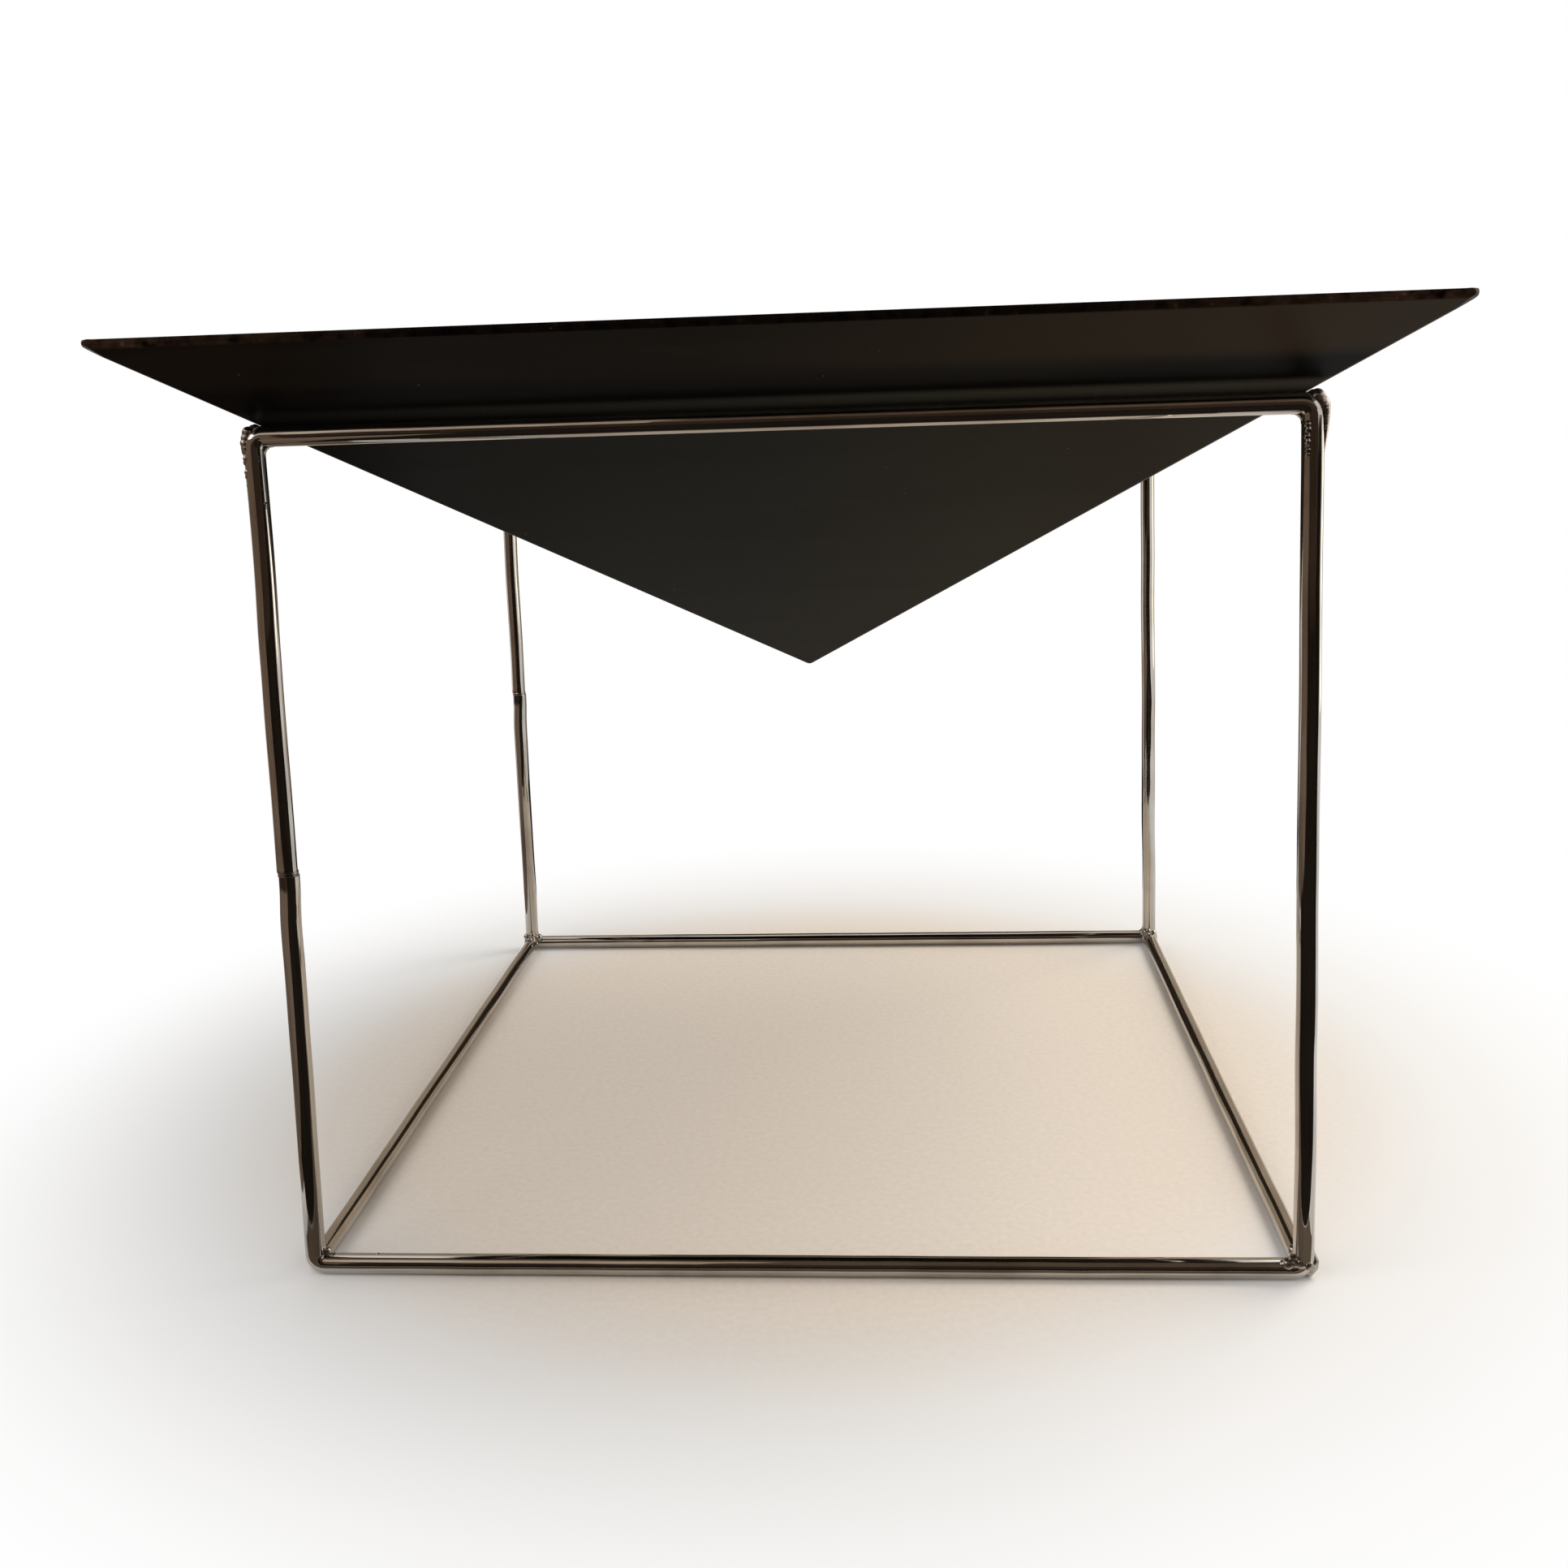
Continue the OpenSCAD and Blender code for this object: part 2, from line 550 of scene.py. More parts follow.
@dataclass(frozen=True)
class ChromedWeld:
    """Chrome plate over rough weld metal: a lumpy, pitted mirror with brown in its pits."""

    name: str = "chrome plate on weld metal"
    plate: str = "#B2ACA4"
    tarnish: str = "#665343"
    roughness: Pair = (0.2, 0.42)
    grain: float = 0.9 * MM
    blotch: float = 3.5 * MM
    pit_depth: float = 0.1 * MM

    def make(self) -> Material:
        """Makes the material.

        Returns:
            The material.
        """
        material, node = new_material(self.name)
        place = node("TexCoord", {}).outputs["Object"]
        grains = node("TexNoise", {"Scale": 1 / self.grain, "Detail": 4}, place)
        blotches = node("TexNoise", {"Scale": 1 / self.blotch, "Detail": 3}, place)
        pits = node("MapRange", {"From Min": 0.5, "From Max": 0.36}, grains)
        rough_spots = node("MapRange", {"From Min": 0.35, "From Max": 0.6}, blotches)
        pits = node("Math", TIMES, pits, rough_spots)
        stain = {"From Min": 0.38, "From Max": 0.6, "To Max": 0.35}
        dark = node("Math", LARGER, node("MapRange", stain, blotches), pits)

        paint = {"Factor": dark, "A": linear(self.plate), "B": linear(self.tarnish)}
        colour = node("Mix", {**COLOURS, **paint})
        low, high = self.roughness
        rough = node("MapRange", {"To Min": low, "To Max": high}, dark)
        lumpy = {"Strength": 0.5, "Distance": self.pit_depth, "Height": grains}
        relief = node("Bump", lumpy)
        surface = {"Base Color": colour, "Roughness": rough, "Normal": relief}
        node("OutputMaterial", {}, node("BsdfPrincipled", {**surface, "Metallic": 1.0}))
        return material


@dataclass(frozen=True)
class BlackLacquer:
    """Black stoving lacquer, sprayed thin and matt on steel sheet.

    It has the fine orange peel of a sprayed coat, level wipe marks that change its gloss,
    specks of dust and edges that are rubbed through to brown steel. Underneath it has a
    painted dark reflection in a band just past the rods, a painted reflection of the rods
    along their line, and inside that a painted reflection of the floor, which thins out to
    the left. Towards the right it is painted lighter and browner, as painted light from
    that side. The rim's edge is painted darker, as a painted dark reflection. In the tray
    dust has settled.
    """

    name: str = "black stoving lacquer on sheet"
    coat: str = "#0A0704"
    wiped: str = "#16100A"
    # Painted light: the underside lighter and browner towards the right, where light falls
    # from
    right_light: str = "#2A2114"
    # Painted dark reflection, in the band just past the rods and on the rim's edge
    dark_reflection: str = "#030202"
    # Painted reflection of the floor under the tray, with a warmer part towards the right
    floor_reflection: str = "#131615"
    warm_floor_reflection: str = "#211C0E"
    # Painted reflection of the rods, along their line under the tray
    rod_reflection: str = "#373631"
    settled: str = "#1B1A17"
    dust: str = "#6B6459"
    bare: str = "#4A3628"
    roughness: Pair = (0.3, 0.4)
    sheen: float = 0.05
    orange_peel: float = 1.6 * MM
    peel_depth: float = 0.05 * MM
    wipe_size: Pair = (160 * MM, 12 * MM)
    dust_gap: float = 7 * MM
    dust_size: float = 0.35 * MM
    chip: float = 4.5 * MM
    # Where each mark starts and where it is full, outwards from the rods' line
    floor_reflection_edge: Pair = (7.5 * MM, 3.5 * MM)
    dark_band_edge: Pair = (23 * MM, 14.5 * MM)
    # The same, from the rods' line to either side
    rod_reflection_edge: Pair = (6.5 * MM, 3 * MM)
    # The same, in from the rim
    rim_edge: Pair = (1.4 * MM, 0.5 * MM)
    # Places from left to right between which each mark grows to its full strength, as
    # painted light that is stronger to the right
    floor_reflection_growth: Pair = (-170 * MM, 20 * MM)
    right_light_growth: Pair = (-20 * MM, 170 * MM)
    rod_reflection_growth: Pair = (-200 * MM, 190 * MM)
    # Distances from the middle between which the rim is worn more and more
    corner_wear: Pair = (110 * MM, 225 * MM)
    hip_wear: Pair = (1.5 * MM, 0.5 * MM)

    def make(self, sizes: TableSizes) -> Material:
        """Makes the material.

        Args:
            sizes: The table's sizes, for the places of the film and the worn edges.

        Returns:
            The material.
        """
        material, node = new_material(self.name)
        place = node("TexCoord", {}).outputs["Object"]
        peel = node("TexNoise", {"Scale": 1 / self.orange_peel, "Detail": 2}, place)
        long_way, short_way = self.wipe_size
        squeeze = {"Scale": (1 / long_way, 1 / long_way, 1 / short_way)}
        streaks = {"Scale": 1.0, "Detail": 4, "Distortion": 0.6}
        wipes = node("TexNoise", streaks, node("Mapping", squeeze, place))
        wiping = {**SOFT, "From Min": 0.42, "From Max": 0.66, "To Max": 0.6}
        wiped = node("MapRange", wiping, wipes)
        specks = node("TexVoronoi", {"Scale": 1 / self.dust_gap}, place).outputs
        size = node("SeparateColor", {}, specks["Color"])
        largest = {"From Min": 0.55, "To Max": self.dust_size / self.dust_gap}
        size = node("MapRange", largest, size)
        dusty = node("Math", {"operation": "LESS_THAN"}, specks["Distance"], size)
        dusty = node("Math", TIMES, dusty, 0.45)

        parts = node("SeparateXYZ", {}, place).outputs
        across, deep = node("Math", UNSIGNED, parts["X"]), node("Math", UNSIGNED, parts["Y"])
        out = node("Math", LARGER, across, deep)
        past_line = node("Math", MINUS, out, sizes.line)
        beside_line = node("Math", UNSIGNED, past_line)
        start, full = (sizes.rim_half - inset for inset in self.rim_edge)
        rim = node("MapRange", {"From Min": start, "From Max": full, "To Max": 0.96}, out)
        worn = self.worn_edges(node, place, (across, deep, rim))
        under = self.underside(node, out, parts["Z"], sizes)
        x = parts["X"]
        # Masks of the underside's painted light: the floor's reflection, a dark band past
        # the rods, the rods' reflection and light from the right
        floor_reflection, dark_band, rod_reflection, floor_reflection_share, right_light, rod_reflection_share = (
            node("MapRange", {"From Min": start, "From Max": full, **more}, source)
            for source, (start, full), more in (
                (past_line, self.floor_reflection_edge, SOFT),
                (past_line, self.dark_band_edge, SOFT),
                (beside_line, self.rod_reflection_edge, SOFT),
                (x, self.floor_reflection_growth, {"To Min": 0.3}),
                (x, self.right_light_growth, {"To Max": 0.8}),
                (x, self.rod_reflection_growth, {"To Min": 0.08}),
            )
        )
        floor_reflection = node("Math", TIMES, floor_reflection, floor_reflection_share)
        rod_reflection = node("Math", TIMES, rod_reflection, rod_reflection_share)
        floor_reflection, dark_band, rod_reflection, right_light = (
            node("Math", TIMES, mark, under) for mark in (floor_reflection, dark_band, rod_reflection, right_light)
        )
        patches = {"From Min": 0.3, "From Max": 0.7, "To Min": 0.2, "To Max": 0.8}
        settled = node("MapRange", patches, wipes)
        settled = node("Math", TIMES, settled, node("Math", MINUS, 1.0, under))

        colour: Source | tuple[float, ...] = linear(self.coat)
        for mask, tone in (
            (wiped, self.wiped),
            # Painted light from the right, growing towards that side
            (right_light, self.right_light),
            # Painted dark reflection in the band just past the rods
            (dark_band, self.dark_reflection),
            # Painted reflection of the floor, thinning out to the left
            (floor_reflection, self.floor_reflection),
            # Painted reflection of the floor, warmer where the painted light from the right
            # meets it
            (node("Math", TIMES, floor_reflection, right_light), self.warm_floor_reflection),
            # Painted reflection of the rods along their line
            (rod_reflection, self.rod_reflection),
            (settled, self.settled),
            # Painted dark reflection on the rim's edge
            (rim, self.dark_reflection),
            (dusty, self.dust),
            (worn, self.bare),
        ):
            colour = node("Mix", {**COLOURS, "Factor": mask, "A": colour, "B": linear(tone)})
        low, high = self.roughness
        dull = node("Math", LARGER, wiped, worn)
        rough = node("MapRange", {"To Min": low, "To Max": high}, dull)
        height = node("Math", MINUS, peel, worn)
        shallow = {"Strength": 0.3, "Distance": self.peel_depth, "Height": height}
        relief = node("Bump", shallow)
        surface = {"Base Color": colour, "Roughness": rough, "Normal": relief}
        glossy = {**surface, "Specular IOR Level": self.sheen}
        node("OutputMaterial", {}, node("BsdfPrincipled", glossy))
        return material

    def underside(
        self, node: AddNode, out: Node, height: NodeSocket, sizes: TableSizes
    ) -> Node:
        """Tells the faces under the tray's sheets from those inside it.

        Args:
            node: Adds a node to the tree.
            out: Node for the larger distance from the middle in X or Y.
            height: The height above the floor.
            sizes: The table's sizes.

        Returns:
            Node that gives 1 underneath and 0 inside.
        """
        climb = node("Math", TIMES, out, math.tan(sizes.slope))
        rise = node("Math", MINUS, height, climb)
        # The change comes in the middle of the sheet's thickness
        inner, outer = (sizes.point_height + share * sizes.rim_band for share in (0.7, 0.3))
        return node("MapRange", {"From Min": inner, "From Max": outer}, rise)

    def worn_edges(
        self, node: AddNode, place: NodeSocket, where: tuple[Node, Node, Node]
    ) -> Node:
        """Marks where the coat is rubbed or chipped, which it is most at the rim's corners.

        Args:
            node: Adds a node to the tree.
            place: Object coordinates.
            where: Nodes for the distance from the middle in X and in Y, and for the rim.

        Returns:
            Node that gives 1 on bare spots and 0 on sound lacquer.
        """
        across, deep, rim = where
        aside = node("Math", {"operation": "MINIMUM"}, across, deep)
        start, full = self.corner_wear
        outer = {"From Min": start, "From Max": full, "To Min": 0.15}
        rim = node("Math", TIMES, rim, node("MapRange", outer, aside))
        gap = node("Math", UNSIGNED, node("Math", MINUS, across, deep))
        start, full = self.hip_wear
        hip = node("MapRange", {"From Min": start, "From Max": full}, gap)
        edge = node("Math", LARGER, rim, hip)
        chips = node("TexNoise", {"Scale": 1 / self.chip, "Detail": 5}, place)
        # A few chips go through to the steel, and more of the edge is rubbed thin
        few = {"From Min": 0.61, "From Max": 0.69}
        often = {"From Min": 0.3, "From Max": 0.6, "To Max": 0.4}
        shares = (node("MapRange", share, chips) for share in (few, often))
        holes, rubbed = (node("Math", TIMES, edge, share) for share in shares)
        return node("Math", LARGER, holes, rubbed)


@dataclass(frozen=True)
class PaleFloor:
    """A plain matt floor, pale and warm, which turns into white further out."""

    name: str = "pale studio floor"
    paint: str = "#EADFD2"
    shade: str = "#DBCFC1"
    outer: str = "#E4E3E1"
    grain: float = 3 * MM
    fade: Pair = (0.23, 0.45)
    # The warm tone ends before the fade, so that its edge is a plain grey
    tone: Pair = (0.2, 0.31)

    def make(self) -> Material:
        """Makes the material.

        Returns:
            The material.
        """
        material, node = new_material(self.name)
        place = node("TexCoord", {}).outputs["Object"]
        radius = node("VectorMath", {"operation": "LENGTH"}, place).outputs["Value"]
        speckle = node("TexNoise", {"Scale": 1 / self.grain, "Detail": 2}, place)
        direct = seen_directly(node)
        whiter, greyer = (
            node("MapRange", {**SOFT, "From Min": near, "From Max": far}, radius)
            for near, far in (self.fade, self.tone)
        )
        whiter = node("Math", TIMES, whiter, direct)
        greyer = node("Math", TIMES, greyer, direct)
        paint = {"Factor": speckle, "A": linear(self.paint), "B": linear(self.shade)}
        colour = node("Mix", {**COLOURS, **paint})
        outer = {"Factor": greyer, "A": colour, "B": linear(self.outer)}
        matt = node("BsdfDiffuse", {}, node("Mix", {**COLOURS, **outer}))
        white = node("Emission", {"Strength": 1.0})
        node("OutputMaterial", {}, node("MixShader", {}, whiter, matt, white))
        return material


def seen_directly(node: AddNode) -> Node:
    """Tells what is seen straight, in a mirror or through glass from what only gives light.

    Args:
        node: Adds a node to the tree.

    Returns:
        Node that gives 1 for what is seen and 0 for soft light.
    """
    path = node("LightPath", {}).outputs
    seen = node("Math", LARGER, path["Is Camera Ray"], path["Is Glossy Ray"])
    return node("Math", LARGER, seen, path["Is Transmission Ray"])


# ---- The cage ----


@dataclass
class RodLoop:
    """One rod bent into a closed rectangle: two posts, an upper and a lower rod.

    Its two ends meet in the left post, a little out of line with each other.
    """

    sizes: TableSizes
    face: Face
    around: int = 32
    step: float = 5 * MM
    bend_steps: int = 10
    # How far the lower end stands to the right of the upper one, over what length, and
    # the share of it that each step of the way back makes up for
    end_slip: float = 0.6 * MM
    slip_run: float = 24 * MM
    slip_shares: tuple[float, ...] = (0.02, 0.08, 0.15, 0.25, 0.25, 0.15, 0.08, 0.02)
    chamfer: float = 0.08 * MM
    sharp_degrees: float = 35

    def build(self) -> Object:
        """Sweeps the rod round its loop, from its lower end to its upper one.

        Returns:
            The rod.
        """
        s = self.sizes
        y = self.face.value * s.line
        wide = s.line - s.bend_radius
        low = s.line_height(Level.BOTTOM) + s.bend_radius
        high = s.line_height(Level.TOP) - s.bend_radius
        # The rod's lower and upper end, before their chamfers
        foot = s.seam_height - s.seam_width / 2 - self.chamfer
        head = s.seam_height + s.seam_width / 2 + self.chamfer

        start_ring((self.end_slip - s.line, y, foot), s.rod_radius, self.around)
        for share in self.slip_shares:
            fall = self.slip_run / len(self.slip_shares)
            extrude(-UP * fall - RIGHT * (self.end_slip * share))
        # Way and length of each straight, and the centre of the bend after it
        for way, length, centre in (
            (-UP, foot - self.slip_run - low, (-wide, y, low)),
            (RIGHT, 2 * wide, (wide, y, low)),
            (UP, high - low, (wide, y, high)),
            (-RIGHT, 2 * wide, (-wide, y, high)),
        ):
            sweep_straight(way, length, self.step)
            bpy.ops.mesh.spin(
                steps=self.bend_steps, angle=QUARTER_TURN, center=centre, axis=BACK
            )
        sweep_straight(-UP, high - head, self.step)
        close_open_ends()
        self.chamfer_end(foot, UP)
        self.chamfer_end(head, -UP)
        piece = settle(f"{self.face.name.lower()}_loop_rod")
        let_wander(piece)
        smooth_by_angle(piece, self.sharp_degrees)
        store_run(piece, self.run_at)
        return piece

    def chamfer_end(self, height: float, way: Vector) -> None:
        """Extrudes an end face to the gap's edge, drawn in to a chamfer.

        Args:
            height: Height of the end.
            way: The way to the gap.
        """
        unselect("FACE")
        set_mode("OBJECT")
        for face in bpy.context.active_object.data.polygons:
            near = abs(face.center.z - height) < ON_EDGE
            face.select = near and len(face.vertices) == self.around
        set_mode("EDIT")
        extrude(way * self.chamfer, 1 - self.chamfer / self.sizes.rod_radius)

    def run_at(self, point: Vector) -> Triple:
        """Finds where a point is on the rod, for its drawn lines.

        Args:
            point: A point of the rod's skin.

        Returns:
            Two places across the rod and one along it.
        """
        s = self.sizes
        low, high = s.line_height(Level.BOTTOM), s.line_height(Level.TOP)
        deep = point.y - self.face.value * s.line
        if low + s.bend_radius < point.z < high - s.bend_radius:
            hand = math.copysign(1, point.x)
            return point.x - hand * s.line, deep, point.z + hand
        middle = low if point.z < s.frame_height / 2 else high
        # Upper and lower rod start at different places of the lines
        return point.z - middle, deep, point.x + 5 * middle


def store_run(piece: Object, run_at: Callable[[Vector], Triple]) -> None:
    """Stores the "run" attribute that the chrome's drawn lines follow.

    Args:
        piece: The rod.
        run_at: Gives two places across and one along the rod, for a point of its skin.
    """
    attribute = piece.data.attributes.new("run", "FLOAT_VECTOR", "POINT")
    values = [place for vertex in piece.data.vertices for place in run_at(vertex.co)]
    attribute.data.foreach_set("vector", values)


@dataclass
class SideRail:
    """A straight rod from the front loop to the back one, let a little into both."""

    sizes: TableSizes
    hand: Hand
    level: Level
    around: int = 32
    step: float = 6 * MM
    let_in: float = 1.4 * MM
    sharp_degrees: float = 35

    def build(self) -> Object:
        """Sweeps the rail from front to back.

        Returns:
            The rail.
        """
        s = self.sizes
        x, z = self.hand.value * s.line, s.line_height(self.level)
        half = s.line - s.rod_radius + self.let_in
        start_ring((x, -half, z), s.rod_radius, self.around, (QUARTER_TURN, 0, 0))
        sweep_straight(BACK, 2 * half, self.step)
        close_open_ends()
        piece = settle(f"{self.level.name}_{self.hand.name}_rail_rod".lower())
        let_wander(piece)
        smooth_by_angle(piece, self.sharp_degrees)
        # Every rail starts at a place of its own along the lines
        start = x + 3 * z
        store_run(piece, lambda point: (point.x - x, point.z - z, point.y + start))
        return piece


@dataclass
class SeamWeld:
    """The butt weld between the two ends of a loop: filed flush, but for a fine groove."""

    sizes: TableSizes
    face: Face
    around: int = 64
    # Height above the weld's middle and radius less the rod's, all the way up its side
    profile: tuple[Pair, ...] = (
        (-0.95 * MM, -0.3 * MM),
        (-0.8 * MM, 0.0),
        (-0.1 * MM, 0.02 * MM),
        (0.05 * MM, -0.3 * MM),
        (0.2 * MM, -0.3 * MM),
        (0.35 * MM, 0.02 * MM),
        (0.8 * MM, 0.0),
        (0.95 * MM, -0.3 * MM),
    )
    # How far the weld's line is from the upper end's line, on the way to the lower end's
    aside: float = 0.3 * MM
    grain: float = 1.3 * MM
    roughness: float = 0.1 * MM
    sharp_degrees: float = 60

    def build(self) -> Object:
        """Sweeps the weld's profile upwards and roughens it.

        Returns:
            The weld.
        """
        s = self.sizes
        height, radius = self.profile[0]
        foot = (self.aside - s.line, self.face.value * s.line, s.seam_height + height)
        start_ring(foot, s.rod_radius + radius, self.around)
        for next_height, next_radius in self.profile[1:]:
            scale = (s.rod_radius + next_radius) / (s.rod_radius + radius)
            extrude(UP * (next_height - height), scale)
            height, radius = next_height, next_radius
        close_open_ends()
        piece = settle(f"{self.face.name.lower()}_seam_bead")
        roughen(piece, self.grain, self.roughness)
        let_wander(piece)
        smooth_by_angle(piece, self.sharp_degrees)
        return piece


class Drop(NamedTuple):
    """A drop of weld metal, in millimetres from a corner: across, deep and up go inwards."""

    across: float
    deep: float
    up: float
    radius: float


def bead(first: Sequence[float], last: Sequence[float], count: int) -> list[Drop]:
    """Lays a row of so many drops from the first to the last."""
    shares = (index / (count - 1) for index in range(count))
    return [Drop(*(a + (b - a) * t for a, b in zip(first, last))) for t in shares]


Corner = tuple[Face, Level, Hand]
# What each corner has besides its common fillets: across, deep, up and radius of a drop
CORNER_EXTRAS: dict[Corner, tuple[Sequence[float], ...]] = {
    (Face.FRONT, Level.TOP, Hand.LEFT): (
        *bead((-1.7, -0.9, -1.7, 2.3), (-2.6, -1.6, 2.4, 2.1), 3),
        (-2.5, -1.9, 4.2, 1.9), (-2.7, -1.6, 5.6, 1.7), (-2.4, -2.2, 8.0, 1.5),
        (-2.6, -1.9, 9.6, 1.4), (-2.4, -2.1, 13.2, 1.4), (-2.5, -1.9, 14.9, 1.3),
        (-2.5, -2.0, 18.3, 1.0), (3.0, -1.9, 25.5, 1.0), (2.9, -1.9, 26.9, 0.8),
    ),
    (Face.FRONT, Level.TOP, Hand.RIGHT): (
        (2.6, -3.1, 7.6, 1.3), (2.4, -3.0, 9.4, 1.25), (2.7, -2.9, 11.9, 1.3),
        (2.5, -3.0, 13.8, 1.2), (2.4, -3.0, 16.9, 1.1), (2.6, -2.9, 18.4, 1.0),
        *bead((-1.5, 0.0, -2.3, 2.8), (-3.3, -0.2, 1.0, 2.9), 4),
        *bead((-3.4, -0.2, 2.2, 2.8), (-3.5, -0.1, 9.5, 2.1), 7),
        *bead((-3.5, -0.1, 10.4, 1.9), (-3.6, 0.0, 17.5, 0.8), 9),
    ),
    (Face.FRONT, Level.BOTTOM, Hand.LEFT): (
        (4.6, 0.6, 5.0, 1.7), (2.4, -0.6, 4.6, 1.8), (7.2, -0.2, 3.0, 1.5),
        (25.5, 0.4, 3.5, 0.9), (27.0, 0.9, 3.4, 0.7), (29.5, 0.3, 3.6, 0.6),
        (-2.4, 2.2, 1.6, 1.8),
    ),
    (Face.FRONT, Level.BOTTOM, Hand.RIGHT): (
        *bead((-2.8, 0.8, 6.2, 1.7), (-3.3, 0.5, 2.6, 2.6), 5),
        *bead((-3.2, 0.6, 1.0, 2.6), (-1.9, 1.0, -1.7, 2.2), 5),
        (-0.8, -2.5, 3.0, 2.2), (1.6, -2.4, 3.7, 2.5), (4.0, -1.6, 3.8, 2.7),
        (6.5, -1.7, 2.7, 2.4), (8.3, -1.5, 2.3, 1.8), (3.4, 3.2, 5.8, 2.1),
    ),
    (Face.BACK, Level.BOTTOM, Hand.LEFT): (
        (-2.9, 2.6, 4.6, 2.1), (0.9, 4.1, 5.8, 2.4), (5.1, 3.4, 4.2, 2.4),
        (1.4, 5.2, 2.8, 2.3),
    ),
    (Face.BACK, Level.BOTTOM, Hand.RIGHT): (
        (-2.6, 3.2, 3.6, 1.8), (4.2, 3.4, 4.0, 2.0), (0.8, 4.3, 5.2, 1.6),
        (1.4, 5.0, 2.4, 2.0),
    ),
}

# Gas holes that were left open in the metal, as the drops that they take out
CORNER_HOLES: dict[Corner, tuple[Sequence[float], ...]] = {
    (Face.FRONT, Level.BOTTOM, Hand.LEFT): ((2.0, -2.6, 6.3, 1.0), (6.2, -1.7, 5.0, 0.9)),
    (Face.FRONT, Level.BOTTOM, Hand.RIGHT): ((0.7, -4.6, 4.8, 1.25), (5.3, -3.9, 4.9, 1.3)),
    (Face.BACK, Level.BOTTOM, Hand.RIGHT): ((3.2, 5.6, 5.6, 1.0),),
}


@dataclass
class CornerWeld:
    """The weld that joins a rail to a bend of a loop, with the web inside the bend."""

    sizes: TableSizes
    face: Face
    level: Level
    hand: Hand
    # Sizes of the drops and of what they fill, in millimetres as theirs are
    core_run: float = 13.0
    core_spare: float = 2
    under_skin: float = 0.3
    hollow: float = 3.0
    hollow_back: float = 0.2
    web_radius: Pair = (1.1, 1.7)
    arc_step: float = math.radians(15)
    ring_drops: int = 15
    ring_radius: Pair = (1.4, 1.75)
    ring_inset: Pair = (0.5, 0.8)
    ring_deep: Pair = (-0.2, 0.8)
    ring_back: float = 0.9
    ring_turn: float = 0.1
    voxel: float = 0.3 * MM
    grain: float = 1.8 * MM
    roughness: float = 0.2 * MM
    tray_gap: float = 0.15 * MM
    floor_gap: float = 0.05 * MM
    sharp_degrees: float = 50

    def build(self) -> Object:
        """Lays the drops, runs them together and trims them to the tray and the floor.

        Returns:
            The weld.
        """
        name = f"{self.face.name}_{self.level.name}_{self.hand.name}_fillet".lower()
        chance = random.Random(name)
        extras, holes = (
            [Drop(*row) for row in table.get((self.face, self.level, self.hand), ())]
            for table in (CORNER_EXTRAS, CORNER_HOLES)
        )
        drops = [*self.cores(extras), *self.inner_web(), *self.collar(chance), *extras]
        piece = self.balls(drops, name)
        apply_modifier(piece, "REMESH", mode="VOXEL", voxel_size=self.voxel)
        if holes:
            self.carve(piece, self.balls(holes, "gas_holes"))
        apply_modifier(piece, "SMOOTH", factor=0.5, iterations=4)
        roughen(piece, self.grain, self.roughness)
        if self.level is Level.TOP:
            s = self.sizes
            gap = (s.seat_gap + self.tray_gap) / math.cos(s.slope)
            self.carve(piece, add_pyramid(s, s.rim_half, gap, "NGON"))
        let_wander(piece)
        if self.level is Level.BOTTOM:
            cut_away(piece, UP * self.floor_gap, -UP)
        smooth_by_angle(piece, self.sharp_degrees)
        LOG.info("%s has %d drops", name, len(drops))
        return piece

    def place(self, drop: Drop) -> Vector:
        """Finds where a drop is in the table's frame.

        Args:
            drop: The drop.

        Returns:
            Its centre.
        """
        s = self.sizes
        x = self.hand.value * (s.line - drop.across * MM)
        y = self.face.value * (s.line - drop.deep * MM)
        return Vector((x, y, s.line_height(self.level) - self.level.value * drop.up * MM))

    def balls(self, drops: list[Drop], name: str) -> Object:
        """Makes one mesh of all the drops, still as separate balls.

        Args:
            drops: The drops.
            name: Name of the mesh.

        Returns:
            The balls.
        """
        pick(None)
        for index, drop in enumerate(drops):
            bpy.ops.mesh.primitive_ico_sphere_add(
                subdivisions=3, radius=drop.radius * MM, location=self.place(drop)
            )
            if index == 0:
                bpy.ops.object.transform_apply(location=True, rotation=True, scale=True)
                set_mode("EDIT")
        return settle(name)

    def carve(self, piece: Object, tool: Object) -> None:
        """Takes a tool's shape out of a weld, and the tool away."""
        apply_modifier(piece, "BOOLEAN", operation="DIFFERENCE", object=tool, solver="EXACT")
        bpy.data.objects.remove(tool)

    def cores(self, extras: list[Drop]) -> list[Drop]:
        """Fills the rods' own inside near the corner, so that the drops run into them.

        Args:
            extras: The corner's own drops, which the core of the post has to reach.

        Returns:
            Drops that stay under the rods' skin.
        """
        bend = self.sizes.bend_radius / MM
        thick = self.sizes.rod_radius / MM - self.under_skin
        run = self.core_run
        top = max([run, *(drop.up + self.core_spare for drop in extras)])
        end = max([run, *(drop.across + self.core_spare for drop in extras)])
        drops = bead((0, 0, bend, thick), (0, 0, top, thick), round(top))
        drops += bead((bend, 0, 0, thick), (end, 0, 0, thick), round(end))
        drops += bead((0, 2, 0, thick), (0, run, 0, thick), 12)
        for step in range(1, 6):
            angle = math.pi + step * self.arc_step
            across, up = bend + bend * math.cos(angle), bend + bend * math.sin(angle)
            drops.append(Drop(across, 0, up, thick))
        return drops

